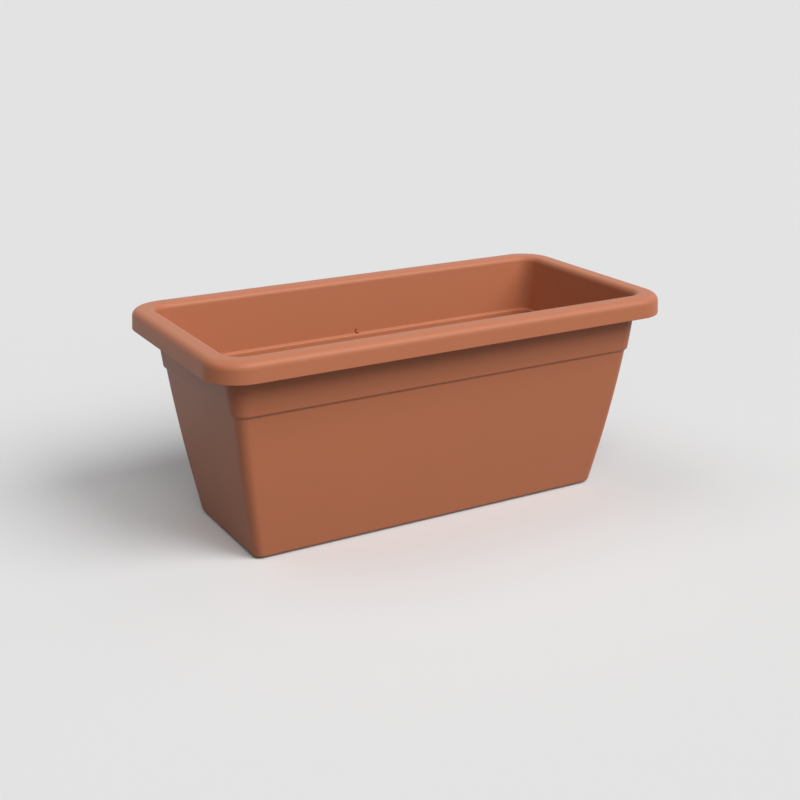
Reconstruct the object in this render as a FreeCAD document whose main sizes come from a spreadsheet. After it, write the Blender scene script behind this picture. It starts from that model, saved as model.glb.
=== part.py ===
import FreeCAD, Part
import Sketcher
import math
import os
import re

# Window box planter: a moulded trough with a rolled rim, two drainage grids that stand on its
# floor over a water reservoir, and four drain plugs. Millimetres, +Z up, +X along the trough,
# the front towards -Y. The origin is on the ground, under the middle of the trough.

SIZES = {
    # the trough's outside
    "trough_length": 500.0,
    "trough_width": 248.0,
    "trough_height": 214.2,
    "shell_wall": 3.0,
    # the rolled rim and its skirt, which flares a little downwards
    "skirt_height": 20.3,
    "skirt_draft": 1.2,
    "rim_corner": 36.0,
    "rim_outer_round": 7.5,
    "rim_inner_round": 6.0,
    # ribs that stiffen the rim from below
    "rib_thickness": 2.0,
    "rib_depth": 8.0,
    "rib_spacing": 110.0,
    "end_rib_spacing": 90.0,
    # the collar: the upright band under the rim, down to the step
    "collar_foot_level": 154.8,
    "collar_foot_length": 446.4,
    "collar_foot_width": 193.8,
    "collar_flare": 4.9,
    "collar_corner": 14.0,
    # the 45 degree step below the collar; on the inside it is a shelf that dips only a little
    "step_size": 2.8,
    "ledge_foot_level": 154.6,
    "ledge_top_level": 155.5,
    # the tapered body: its walls bow out a little between the step and the base
    "base_length": 395.6,
    "base_width": 140.0,
    "base_corner": 9.5,
    "wall_bow": 1.45,
    "base_round": 3.2,
    "floor_round": 3.0,
    # feet, drain holes and the overflow standpipe
    "ground_gap": 1.2,
    "pad_radius": 9.0,
    "pad_spacing_x": 176.0,
    "pad_spacing_y": 102.0,
    "drain_radius": 6.0,
    "drain_spacing_x": 300.0,
    "drain_spacing_y": 76.0,
    "pipe_radius": 7.0,
    "pipe_bore_radius": 4.0,
    "pipe_height": 29.0,
    # the knock-out in the back wall: a disc scored most of the way round from the inside, by a
    # groove that leaves a thin skin
    "knockout_offset": 0.6,
    "knockout_level": 158.0,
    "knockout_inner_radius": 1.8,
    "knockout_outer_radius": 3.1,
    "knockout_start_angle": 120.0,
    "knockout_end_angle": 290.0,
    "knockout_skin": 0.6,
    # drainage grids
    "reservoir_height": 34.0,
    "grid_length": 197.6,
    "grid_width": 142.4,
    "grid_thickness": 2.2,
    "grid_corner": 6.0,
    "grid_seam": 1.5,
    "lip_height": 4.0,
    "lip_thickness": 1.8,
    "leg_radius": 4.0,
    "leg_spacing_x": 168.0,
    "leg_spacing_y": 118.0,
    "well_mouth_length": 56.0,
    "well_mouth_width": 40.0,
    "well_foot_length": 42.0,
    "well_foot_width": 28.0,
    "well_corner": 6.0,
    "well_wall": 2.0,
    "slit_width": 3.0,
    "slit_height": 16.0,
    "slit_spacing": 10.0,
    "slot_width": 3.0,
    "slot_length": 22.0,
    "slot_pitch_x": 8.0,
    "slot_pitch_y": 28.0,
    # drain plugs
    "plug_clearance": 0.05,
    "plug_flange_radius": 9.5,
    "plug_flange_thickness": 2.0,
    "plug_tip": 0.8,
    "plug_chamfer": 0.7,
    "plug_neck_radius": 3.0,
    "plug_neck_height": 3.5,
    "plug_grip_radius": 5.0,
    "plug_grip_height": 3.0,
}

# levels and half sizes that several features share, worked out from the sizes above
RIM_TOP = "trough_height"
SKIRT_FOOT = "(trough_height - skirt_height)"
RIM_UNDERSIDE = "(trough_height - shell_wall)"
COLLAR_FOOT = "collar_foot_level"
STEP_FOOT = "(collar_foot_level - step_size)"
BODY_MIDDLE = f"((ground_gap + {STEP_FOOT}) / 2)"
LEDGE_FOOT = "ledge_foot_level"
LEDGE_TOP = "ledge_top_level"
LEDGE_SHARE = f"(({LEDGE_FOOT} - ground_gap) / ({STEP_FOOT} - ground_gap))"
FLOOR_TOP = "(ground_gap + shell_wall)"
COLLAR_SLOPE = f"(collar_flare / ({SKIRT_FOOT} - collar_foot_level))"
GRID_UNDERSIDE = f"({FLOOR_TOP} + reservoir_height)"
GRID_TOP = f"({GRID_UNDERSIDE} + grid_thickness)"

# how far a point may lie from where an edge is looked for
NEAR = 0.01
# a rounded rectangle has four sides and four corners
LOOP_EDGES = 8

RIB_COUNT = 4
SLIT_COUNT = 3
OUTER_SLOT_COUNT = 23
INNER_SLOT_COUNT = 7

document = FreeCAD.newDocument("window_box_planter")
sheet = document.addObject("Spreadsheet::Sheet", "sizes")
for row, (alias, number) in enumerate(SIZES.items(), start=1):
    sheet.set(f"A{row}", alias)
    sheet.set(f"B{row}", str(number))
    sheet.setAlias(f"B{row}", alias)
document.recompute()


# ---- sizes ------------------------------------------------------------------------------

def from_sheet(expression):
    """Put the sheet's name before every alias in an expression."""
    return re.sub(r"[a-z_]{3,}", r"sizes.\g<0>", expression)


def number_of(expression):
    """Work an expression out now, for a sketch's first geometry or a search for edges."""
    return float(sheet.evalExpression(from_sheet(expression)))


def bind(thing, **properties):
    """Bind properties of an object to expressions over the sheet."""
    for name, expression in properties.items():
        thing.setExpression(name, from_sheet(expression))


# ---- sketches ---------------------------------------------------------------------------

def origin_feature(body, role):
    return next(item for item in body.Origin.OriginFeatures if item.Role == role)


def new_sketch(body, name, level="0", plane="XY_Plane"):
    """An empty sketch on one of the body's own planes, moved along the plane's normal."""
    sketch = body.newObject("Sketcher::SketchObject", name)
    sketch.AttachmentSupport = [(origin_feature(body, plane), "")]
    sketch.MapMode = "FlatFace"
    sketch.setExpression("AttachmentOffset.Base.z", from_sheet(level))
    return sketch


def dimension(sketch, kind, *where, expression, in_degrees=False):
    """Add one driving dimension and bind it."""
    number = number_of(expression)
    if in_degrees:
        number = math.radians(number)
    index = sketch.addConstraint(Sketcher.Constraint(kind, *where, number))
    unit = " * 1 deg" if in_degrees else ""
    sketch.setExpression(f"Constraints[{index}]", f"({from_sheet(expression)}){unit}")


def place_point(sketch, geometry, end, x, y):
    """Fix one point of the sketch by its distances from the origin."""
    for kind, expression in (("DistanceX", x), ("DistanceY", y)):
        if expression == "0":
            axis = -2 if kind == "DistanceX" else -1
            sketch.addConstraint(Sketcher.Constraint("PointOnObject", geometry, end, axis))
        else:
            dimension(sketch, kind, -1, 1, geometry, end, expression=expression)


def rounded_rectangle(body, name, level, length, width, corner):
    """A rectangle with round corners about the body's axis; length and width are full sizes."""
    sketch = new_sketch(body, name, level)
    x = number_of(length) / 2
    y = number_of(width) / 2
    r = number_of(corner)
    sides = [((r - x, -y), (x - r, -y)), ((x, r - y), (x, y - r)),
             ((x - r, y), (r - x, y)), ((-x, y - r), (-x, r - y))]
    for start, end in sides:
        sketch.addGeometry(Part.LineSegment(FreeCAD.Vector(*start, 0), FreeCAD.Vector(*end, 0)))
    centres = [(x - r, r - y), (x - r, y - r), (r - x, y - r), (r - x, r - y)]
    for quarter, centre in enumerate(centres):
        circle = Part.Circle(FreeCAD.Vector(*centre, 0), FreeCAD.Vector(0, 0, 1), r)
        start = (quarter - 1) * math.pi / 2
        sketch.addGeometry(Part.ArcOfCircle(circle, start, start + math.pi / 2))
    for side in range(4):
        sketch.addConstraint(Sketcher.Constraint("Tangent", side, 2, 4 + side, 1))
        sketch.addConstraint(Sketcher.Constraint("Tangent", 4 + side, 2, (side + 1) % 4, 1))
        sketch.addConstraint(Sketcher.Constraint("Vertical" if side % 2 else "Horizontal", side))
    for arc in (5, 6, 7):
        sketch.addConstraint(Sketcher.Constraint("Equal", 4, arc))
    sketch.addConstraint(Sketcher.Constraint("Symmetric", 4, 3, 6, 3, -1, 1))
    dimension(sketch, "DistanceX", -1, 1, 1, 1, expression=f"({length}) / 2")
    dimension(sketch, "DistanceY", -1, 1, 2, 1, expression=f"({width}) / 2")
    dimension(sketch, "Radius", 4, expression=corner)
    return sketch


def circles(body, name, level, radius, centres):
    """Equal circles at the given centres."""
    sketch = new_sketch(body, name, level)
    for index, (x, y) in enumerate(centres):
        centre = FreeCAD.Vector(number_of(x), number_of(y), 0)
        sketch.addGeometry(Part.Circle(centre, FreeCAD.Vector(0, 0, 1), number_of(radius)))
        place_point(sketch, index, 3, x, y)
        dimension(sketch, "Radius", index, expression=radius)
    return sketch


def outline(body, name, points, plane="XY_Plane", level="0", sketch=None):
    """A closed outline of straight lines through points given as pairs of expressions."""
    sketch = sketch or new_sketch(body, name, level, plane)
    first = sketch.GeometryCount
    corners = [FreeCAD.Vector(number_of(x), number_of(y), 0) for x, y in points]
    for start, end in zip(corners, corners[1:] + corners[:1]):
        sketch.addGeometry(Part.LineSegment(start, end))
    for index, (x, y) in enumerate(points):
        following = (index + 1) % len(points)
        sketch.addConstraint(
            Sketcher.Constraint("Coincident", first + index, 2, first + following, 1))
        place_point(sketch, first + index, 1, x, y)
    return sketch


def rectangles(body, name, boxes, plane="XY_Plane", level="0"):
    """Several rectangles in one sketch, each given as x low, x high, y low, y high."""
    sketch = new_sketch(body, name, level, plane)
    for left, right, low, high in boxes:
        outline(body, name, [(left, low), (right, low), (right, high), (left, high)],
                sketch=sketch)
    return sketch


def arc_band(body, name, centre, radii, angles, plane, level):
    """A C-shaped band: two arcs about one centre, closed by two radial lines."""
    sketch = new_sketch(body, name, level, plane)
    middle = FreeCAD.Vector(number_of(centre[0]), number_of(centre[1]), 0)
    turns = [math.radians(number_of(angle)) for angle in angles]
    for radius in radii:
        circle = Part.Circle(middle, FreeCAD.Vector(0, 0, 1), number_of(radius))
        sketch.addGeometry(Part.ArcOfCircle(circle, *turns))
    for turn in turns:
        ray = FreeCAD.Vector(math.cos(turn), math.sin(turn), 0)
        ends = [middle + ray * number_of(radius) for radius in radii]
        sketch.addGeometry(Part.LineSegment(*ends))
    sketch.addConstraint(Sketcher.Constraint("Coincident", 0, 3, 1, 3))
    place_point(sketch, 0, 3, *centre)
    for arc, radius in enumerate(radii):
        for line in (0, 1):
            sketch.addConstraint(Sketcher.Constraint("Coincident", arc, line + 1, 2 + line, arc + 1))
        dimension(sketch, "Radius", arc, expression=radius)
    for line, angle in enumerate(angles):
        sketch.addConstraint(Sketcher.Constraint("PointOnObject", 0, 3, 2 + line))
        dimension(sketch, "Angle", 2 + line, expression=angle, in_degrees=True)
    return sketch


# ---- features ---------------------------------------------------------------------------

def new_body(label):
    body = document.addObject("PartDesign::Body", label)
    body.Label = label
    return body


def feature(body, kind, name, **settings):
    """Add a PartDesign feature, set its properties and recompute."""
    item = body.newObject("PartDesign::" + kind, name)
    for key, setting in settings.items():
        setattr(item, key, setting)
    document.recompute()
    return item


def pad(body, name, sketch, length):
    item = feature(body, "Pad", name, Profile=sketch)
    bind(item, Length=length)
    document.recompute()
    return item


def pocket(body, name, sketch, length, reverse=False):
    """Cut a sketch's outline out of the body, and make sure that it did cut."""
    before = body.Shape.Volume
    item = feature(body, "Pocket", name, Profile=sketch, Reversed=reverse)
    bind(item, Length=length)
    document.recompute()
    if body.Shape.Volume > before - NEAR:
        raise RuntimeError(f"{name} cuts nothing")
    return item


def loft(body, kind, name, sections, smooth=False):
    return feature(body, kind, name, Profile=sections[0], Sections=sections[1:], Ruled=not smooth)


def round_loop(body, name, level, length, width, corner, radius):
    """Round the closed loop of edges that runs along a rounded rectangle at one level."""
    z = number_of(level)
    x = number_of(length) / 2
    y = number_of(width) / 2
    r = number_of(corner)

    def on_loop(edge):
        for fraction in (0.0, 0.5, 1.0):
            first, last = edge.ParameterRange
            point = edge.valueAt(first + fraction * (last - first))
            across = math.hypot(max(abs(point.x) - x + r, 0), max(abs(point.y) - y + r, 0))
            if abs(point.z - z) > NEAR or abs(across - r) > NEAR:
                return False
        return True

    base = body.Tip
    names = [f"Edge{index}" for index, edge in enumerate(base.Shape.Edges, start=1)
             if on_loop(edge)]
    if len(names) < LOOP_EDGES:
        raise RuntimeError(f"{name} finds {len(names)} edges")
    item = feature(body, "Fillet", name, Base=(base, names))
    bind(item, Radius=radius)
    document.recompute()
    return item


def pattern(body, name, original, rows=(), mirrors=()):
    """Repeat a feature along X as (length, count) rows, and across the named planes."""
    item = body.newObject("PartDesign::MultiTransform", name)
    item.Originals = [original]
    steps = []
    for length, count in rows:
        row = document.addObject("PartDesign::LinearPattern", name + "_row")
        row.Direction = (origin_feature(body, "X_Axis"), [""])
        bind(row, Length=length)
        row.Occurrences = count
        steps.append(row)
    for plane in mirrors:
        mirror = document.addObject("PartDesign::Mirrored", name + "_mirror")
        mirror.MirrorPlane = (origin_feature(body, plane), [""])
        steps.append(mirror)
    for step in steps:
        body.addObject(step)
    item.Transformations = steps
    body.Tip = item
    document.recompute()
    return item


# ---- the trough -------------------------------------------------------------------------

def rim_sizes(drawn_in, inset="0"):
    """The rim's length, width and corner, drawn in by its draft and set in by a wall."""
    return (f"trough_length - 2 * ({drawn_in} + {inset})",
            f"trough_width - 2 * ({drawn_in} + {inset})",
            f"rim_corner - {drawn_in} - {inset}")


def add_rim(body):
    """The rim: a flat roll with a hanging skirt, hollow underneath."""
    loft(body, "AdditiveLoft", "rim_block", [
        rounded_rectangle(body, "skirt_foot_outline", SKIRT_FOOT, *rim_sizes("0")),
        rounded_rectangle(body, "rim_top_outline", RIM_TOP, *rim_sizes("skirt_draft")),
    ])
    loft(body, "SubtractiveLoft", "skirt_hollow", [
        rounded_rectangle(body, "hollow_foot_outline", SKIRT_FOOT, *rim_sizes("0", "shell_wall")),
        rounded_rectangle(body, "hollow_top_outline", RIM_UNDERSIDE,
                          *rim_sizes("skirt_draft", "shell_wall")),
    ])
    round_loop(body, "skirt_hollow_roll", RIM_UNDERSIDE, *rim_sizes("skirt_draft", "shell_wall"),
               "rim_outer_round - shell_wall")
    round_loop(body, "rim_outer_roll", RIM_TOP, *rim_sizes("skirt_draft"), "rim_outer_round")


def collar_sizes(level, inset="0"):
    """The collar's length, width and corner at a level, set in from its outer face."""
    growth = f"({COLLAR_SLOPE} * ({level} - collar_foot_level) - {inset})"
    return (f"collar_foot_length + 2 * {growth}", f"collar_foot_width + 2 * {growth}",
            f"collar_corner + {growth}")


def body_sizes(share, inset="0"):
    """The tapered body's length, width and corner at a share of the way up to the step."""
    length = f"(collar_foot_length - 2 * step_size) * {share} + base_length * (1 - {share})"
    width = f"(collar_foot_width - 2 * step_size) * {share} + base_width * (1 - {share})"
    corner = f"(collar_corner - step_size) * {share} + base_corner * (1 - {share})"
    grown = f"2 * (4 * wall_bow * {share} * (1 - {share}) - {inset})"
    return f"{length} + {grown}", f"{width} + {grown}", f"{corner} - {inset}"


def add_walls(body):
    """The collar, the step and the tapered body, still solid inside."""
    collar_top = f"({RIM_UNDERSIDE} + shell_wall / 2)"
    loft(body, "AdditiveLoft", "collar", [
        rounded_rectangle(body, "collar_foot_outline", COLLAR_FOOT, *collar_sizes(COLLAR_FOOT)),
        rounded_rectangle(body, "collar_top_outline", collar_top, *collar_sizes(collar_top)),
    ])
    loft(body, "AdditiveLoft", "step", [
        rounded_rectangle(body, "step_foot_outline", STEP_FOOT, *body_sizes("1")),
        rounded_rectangle(body, "step_top_outline", COLLAR_FOOT, *collar_sizes(COLLAR_FOOT)),
    ])
    loft(body, "AdditiveLoft", "tapered_body", [
        rounded_rectangle(body, "base_outline", "ground_gap", *body_sizes("0")),
        rounded_rectangle(body, "middle_outline", BODY_MIDDLE, *body_sizes("0.5")),
        rounded_rectangle(body, "body_top_outline", STEP_FOOT, *body_sizes("1")),
    ], smooth=True)
    round_loop(body, "rim_inner_underside", RIM_UNDERSIDE, *collar_sizes(RIM_UNDERSIDE),
               "rim_inner_round - shell_wall")


def add_ribs(body):
    """Bars right across under the rim; the cavity leaves only their ends, as ribs."""
    bar_level = f"({RIM_UNDERSIDE} - rib_depth)"
    reach_x = "(trough_length / 2 - shell_wall)"
    reach_y = "(trough_width / 2 - shell_wall)"
    half = "rib_thickness / 2"
    bars = []
    for index in range(RIB_COUNT):
        x = f"(rib_spacing * {index - (RIB_COUNT - 1) / 2})"
        bars.append((f"{x} - {half}", f"{x} + {half}", f"-{reach_y}", reach_y))
    pad(body, "cross_ribs", rectangles(body, "cross_rib_outlines", bars, level=bar_level),
        "rib_depth")
    ends = []
    for side in (-1, 1):
        y = f"({side} * end_rib_spacing / 2)"
        ends.append((f"-{reach_x}", reach_x, f"{y} - {half}", f"{y} + {half}"))
    pad(body, "end_ribs", rectangles(body, "end_rib_outlines", ends, level=bar_level),
        "rib_depth")


def cut_cavity(body):
    """The planting space: the outer shape again, one wall further in."""
    inset = "shell_wall"
    floor_share = f"(shell_wall / ({STEP_FOOT} - ground_gap))"
    loft(body, "SubtractiveLoft", "body_cavity", [
        rounded_rectangle(body, "floor_outline", FLOOR_TOP, *body_sizes(floor_share, inset)),
        rounded_rectangle(body, "cavity_middle_outline", BODY_MIDDLE, *body_sizes("0.5", inset)),
        rounded_rectangle(body, "cavity_top_outline", LEDGE_FOOT,
                          *body_sizes(LEDGE_SHARE, inset)),
    ], smooth=True)
    loft(body, "SubtractiveLoft", "ledge", [
        rounded_rectangle(body, "ledge_foot_outline", LEDGE_FOOT,
                          *body_sizes(LEDGE_SHARE, inset)),
        rounded_rectangle(body, "ledge_top_outline", LEDGE_TOP, *collar_sizes(LEDGE_TOP, inset)),
    ])
    loft(body, "SubtractiveLoft", "collar_cavity", [
        rounded_rectangle(body, "cavity_foot_outline", LEDGE_TOP,
                          *collar_sizes(LEDGE_TOP, inset)),
        rounded_rectangle(body, "cavity_mouth_outline", RIM_TOP, *collar_sizes(RIM_TOP, inset)),
    ])
    round_loop(body, "rim_inner_roll", RIM_TOP, *collar_sizes(RIM_TOP, inset), "rim_inner_round")
    round_loop(body, "floor_edge", FLOOR_TOP, *body_sizes(floor_share, inset), "floor_round")
    round_loop(body, "base_edge", "ground_gap", *body_sizes("0"), "base_round")


def add_base_details(body):
    """Foot pads, drain holes, the overflow standpipe and the knock-out in the back wall."""
    columns = ("-pad_spacing_x", "0", "pad_spacing_x")
    rows = ("-pad_spacing_y / 2", "pad_spacing_y / 2")
    pads = circles(body, "pad_outlines", "0", "pad_radius", [(x, y) for x in columns for y in rows])
    pad(body, "foot_pads", pads, "ground_gap")
    corners = [(f"{x} * drain_spacing_x / 2", f"{y} * drain_spacing_y / 2")
               for x in (-1, 1) for y in (-1, 1)]
    holes = circles(body, "drain_outlines", FLOOR_TOP, "drain_radius", corners)
    pocket(body, "drain_holes", holes, "2 * shell_wall")
    pipe = circles(body, "pipe_outline", FLOOR_TOP, "pipe_radius", [("0", "0")])
    pad(body, "overflow_pipe", pipe, "pipe_height")
    bore = circles(body, "pipe_bore_outline", f"({FLOOR_TOP} + pipe_height)",
                   "pipe_bore_radius", [("0", "0")])
    pocket(body, "overflow_bore", bore, "pipe_height + 2 * shell_wall")
    # the sketch plane's normal points to the front, so its level counts towards -Y
    inside_back_wall = "-(collar_foot_width / 2 - 2 * shell_wall)"
    groove = arc_band(body, "knockout_outline", ("knockout_offset", "knockout_level"),
                      ("knockout_inner_radius", "knockout_outer_radius"),
                      ("knockout_start_angle", "knockout_end_angle"), "XZ_Plane",
                      inside_back_wall)
    pocket(body, "knockout_groove", groove, "2 * shell_wall - knockout_skin")


def make_trough():
    body = new_body("trough_shell")
    add_rim(body)
    add_walls(body)
    add_ribs(body)
    cut_cavity(body)
    add_base_details(body)
    return body


# ---- drainage grids ---------------------------------------------------------------------

def make_grid(label, side):
    """One insert: a slotted plate with a lip, four legs and a hollow soil well."""
    body = new_body(label)
    plate = rounded_rectangle(body, "plate_outline", f"({GRID_UNDERSIDE} - lip_height)",
                              "grid_length", "grid_width", "grid_corner")
    pad(body, "plate", plate, "lip_height + grid_thickness")
    tray = rounded_rectangle(body, "tray_outline", GRID_UNDERSIDE,
                             "grid_length - 2 * lip_thickness",
                             "grid_width - 2 * lip_thickness", "grid_corner - lip_thickness")
    pocket(body, "plate_underside", tray, "lip_height")
    legs = circles(body, "leg_outlines", FLOOR_TOP, "leg_radius",
                   [(f"{x} * leg_spacing_x / 2", f"{y} * leg_spacing_y / 2")
                    for x in (-1, 1) for y in (-1, 1)])
    pad(body, "legs", legs, "reservoir_height")
    loft(body, "AdditiveLoft", "well", [
        rounded_rectangle(body, "well_foot_outline", FLOOR_TOP,
                          "well_foot_length", "well_foot_width", "well_corner"),
        rounded_rectangle(body, "well_mouth_outline", GRID_TOP,
                          "well_mouth_length", "well_mouth_width", "well_corner"),
    ])
    loft(body, "SubtractiveLoft", "well_hollow", [
        rounded_rectangle(body, "hollow_foot_outline", f"({FLOOR_TOP} + well_wall)",
                          "well_foot_length - 2 * well_wall", "well_foot_width - 2 * well_wall",
                          "well_corner - well_wall"),
        rounded_rectangle(body, "hollow_mouth_outline", GRID_TOP,
                          "well_mouth_length - 2 * well_wall",
                          "well_mouth_width - 2 * well_wall", "well_corner - well_wall"),
    ])
    slit_low = f"({FLOOR_TOP} + 2 * well_wall)"
    slits = []
    for index in range(SLIT_COUNT):
        x = f"(slit_spacing * {index - (SLIT_COUNT - 1) / 2})"
        slits.append((f"{x} - slit_width / 2", f"{x} + slit_width / 2",
                      slit_low, f"{slit_low} + slit_height"))
    # from in front of the well, towards the back, through both of its long sides
    outlines = rectangles(body, "slit_outlines", slits, "XZ_Plane", "well_mouth_width")
    pocket(body, "well_slits", outlines, "2 * well_mouth_width")
    add_slots(body)
    bind(body, **{"Placement.Base.x": f"{side} * (grid_length + grid_seam) / 2"})
    return body


def slot(body, name, x, y):
    """One long slot through the plate, at its centre."""
    box = (f"{x} - slot_width / 2", f"{x} + slot_width / 2",
           f"{y} - slot_length / 2", f"{y} + slot_length / 2")
    outline_sketch = rectangles(body, name + "_outline", [box], level=GRID_TOP)
    return pocket(body, name, outline_sketch, "1.5 * grid_thickness")


def add_slots(body):
    """Slots along the two outer rows, and along the inner rows up to the well."""
    outer_reach = f"(slot_pitch_x * {OUTER_SLOT_COUNT - 1})"
    inner_reach = f"(slot_pitch_x * {INNER_SLOT_COUNT - 1})"
    first_outer = slot(body, "outer_slot", f"-{outer_reach} / 2", "1.5 * slot_pitch_y")
    pattern(body, "outer_slots", first_outer, [(outer_reach, OUTER_SLOT_COUNT)], ["XZ_Plane"])
    first_inner = slot(body, "inner_slot", f"({outer_reach} / 2 - {inner_reach})",
                       "0.5 * slot_pitch_y")
    pattern(body, "inner_slots", first_inner, [(inner_reach, INNER_SLOT_COUNT)],
            ["XZ_Plane", "YZ_Plane"])


# ---- drain plugs ------------------------------------------------------------------------

def make_plug(label, side_x, side_y):
    """A turned plug: a stem in the drain hole, a flange on the floor and a grip."""
    body = new_body(label)
    stem = "(drain_radius - plug_clearance)"
    tip = "(ground_gap - plug_tip)"
    flange_top = f"({FLOOR_TOP} + plug_flange_thickness)"
    neck_top = f"({flange_top} + plug_neck_height)"
    grip_top = f"({neck_top} + plug_grip_height)"
    profile = outline(body, "profile", [
        ("0", tip),
        (f"{stem} - plug_chamfer", tip),
        (stem, f"{tip} + plug_chamfer"),
        (stem, FLOOR_TOP),
        ("plug_flange_radius", FLOOR_TOP),
        ("plug_flange_radius", f"{flange_top} - plug_chamfer"),
        ("plug_flange_radius - plug_chamfer", flange_top),
        ("plug_neck_radius", flange_top),
        ("plug_neck_radius", neck_top),
        ("plug_grip_radius", f"{neck_top} + plug_chamfer"),
        ("plug_grip_radius", f"{grip_top} - plug_chamfer"),
        ("plug_grip_radius - plug_chamfer", grip_top),
        ("0", grip_top),
    ], plane="XZ_Plane")
    feature(body, "Revolution", "turned_plug", Profile=profile,
            ReferenceAxis=(profile, ["V_Axis"]), Angle=360.0)
    bind(body, **{"Placement.Base.x": f"{side_x} * drain_spacing_x / 2",
                  "Placement.Base.y": f"{side_y} * drain_spacing_y / 2"})
    return body


# ---- build, check and write -------------------------------------------------------------

bodies = [make_trough(), make_grid("drainage_grid_left", -1), make_grid("drainage_grid_right", 1)]
for front_back, side_y in (("front", -1), ("back", 1)):
    for left_right, side_x in (("left", -1), ("right", 1)):
        bodies.append(make_plug(f"drain_plug_{front_back}_{left_right}", side_x, side_y))
document.recompute()

for item in document.Objects:
    if "Invalid" in item.State or "Error" in item.State:
        raise RuntimeError(f"{item.Label} failed: {item.State}")
for body in bodies:
    shape = body.Shape
    if shape.isNull() or not shape.isValid() or len(shape.Solids) != 1:
        raise RuntimeError(f"{body.Label} isn't one valid solid")

os.makedirs("parts", exist_ok=True)
for body in bodies:
    body.Shape.exportStep(f"parts/{body.Label}.step")
    box = body.Shape.BoundBox
    print(f"{body.Label}: {body.Shape.Volume / 1000:.1f} cm3, "
          f"x {box.XMin:.1f} to {box.XMax:.1f}, y {box.YMin:.1f} to {box.YMax:.1f}, "
          f"z {box.ZMin:.1f} to {box.ZMax:.1f}")
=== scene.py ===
# %% [markdown]
# # A window box planter
#
# The object is a plain moulded trough for plants: a rolled rim with a skirt hanging from it, a
# collar band, a small step, and tapered walls down to a flat base. Inside stand two lift-out
# drainage grids over a water reservoir, and four plugs close the drain holes. The first cell loads
# the imported construction model. Its trough solid gives the trough's outer size, and the pieces
# made below hide its parts and move with its bodies.

import math

import bmesh
import bpy
from mathutils import Matrix, Vector


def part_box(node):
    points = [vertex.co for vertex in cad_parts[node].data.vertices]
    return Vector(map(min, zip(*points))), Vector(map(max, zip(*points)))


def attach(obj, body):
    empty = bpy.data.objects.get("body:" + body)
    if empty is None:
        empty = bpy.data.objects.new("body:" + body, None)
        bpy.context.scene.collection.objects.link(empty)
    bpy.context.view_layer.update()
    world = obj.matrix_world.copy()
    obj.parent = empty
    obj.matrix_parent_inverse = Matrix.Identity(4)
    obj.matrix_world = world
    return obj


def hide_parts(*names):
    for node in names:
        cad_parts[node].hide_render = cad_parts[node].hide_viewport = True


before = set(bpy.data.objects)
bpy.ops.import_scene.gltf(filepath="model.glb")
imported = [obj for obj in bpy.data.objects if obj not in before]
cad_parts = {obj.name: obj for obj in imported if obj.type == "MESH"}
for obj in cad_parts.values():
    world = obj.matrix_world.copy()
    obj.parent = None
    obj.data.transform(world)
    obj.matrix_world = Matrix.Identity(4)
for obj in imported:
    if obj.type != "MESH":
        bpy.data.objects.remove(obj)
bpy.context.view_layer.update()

# %% [markdown]
# ## Sizes
#
# Every piece takes its size from a few driving dimensions. The large ones are measured on the
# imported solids, and the moulding's details are written out in millimetres and turned into metres
# here. A level is a height over the ground.

# %% Sizes of the trough, in metres
MM = 0.001

_, shell_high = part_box("trough_shell")
HALF_LENGTH = shell_high.x
HALF_WIDTH = shell_high.y
RIM_TOP = shell_high.z

WALL = 3 * MM
SKIRT_HEIGHT = 20.3 * MM
SKIRT_DRAFT = 1.2 * MM
RIM_CORNER = 36 * MM
COLLAR_FOOT = 154.8 * MM
COLLAR_HALF_LENGTH = 223.2 * MM
COLLAR_HALF_WIDTH = 96.9 * MM
COLLAR_CORNER = 14 * MM
COLLAR_FLARE = 4.9 * MM
STEP = 2.8 * MM
BASE_HALF_LENGTH = 197.8 * MM
BASE_HALF_WIDTH = 70 * MM
BASE_CORNER = 9.5 * MM
BASE_LEVEL = 1.2 * MM
WALL_BOW = 1.45 * MM

SKIRT_FOOT = RIM_TOP - SKIRT_HEIGHT
RIM_UNDERSIDE = RIM_TOP - WALL
STEP_FOOT = COLLAR_FOOT - STEP
LEDGE_FOOT = 154.6 * MM
LEDGE_TOP = 155.5 * MM
FLOOR = BASE_LEVEL + WALL
print(f"trough: {2 * HALF_LENGTH:.3f} x {2 * HALF_WIDTH:.3f} x {RIM_TOP:.4f} m")

# %% [markdown]
# ## Node trees in a few words
#
# A node tree built in a script is long if every node takes four lines. These helpers add a node
# and feed its sockets in one line each: a socket takes a plain value or another node's output.
# A finished tree runs as a modifier, its inputs are set by each socket's identifier, and the
# result is kept as a plain mesh, so that nothing is left to evaluate later.

# %% Helpers that build and run node trees
def feed(tree, socket, source):
    """Link a socket to another node's output, or set it to a plain value."""
    if isinstance(source, bpy.types.NodeSocket):
        tree.links.new(source, socket)
    else:
        socket.default_value = source


def add_node(tree, kind, settings=None, **inputs):
    """Add a node with its settings, and feed its inputs by name, with _ for a space."""
    node = tree.nodes.new(kind)
    for name, value in (settings or {}).items():
        setattr(node, name, value)
    for name, source in inputs.items():
        feed(tree, node.inputs[name.replace("_", " ")], source)
    return node


def calculate(tree, operation, *sources, vector=False):
    """One step of arithmetic on numbers, or on vectors."""
    node = tree.nodes.new("ShaderNodeVectorMath" if vector else "ShaderNodeMath")
    node.operation = operation
    for socket, source in zip(node.inputs, sources):
        feed(tree, socket, source)
    return node.outputs[0]


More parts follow.
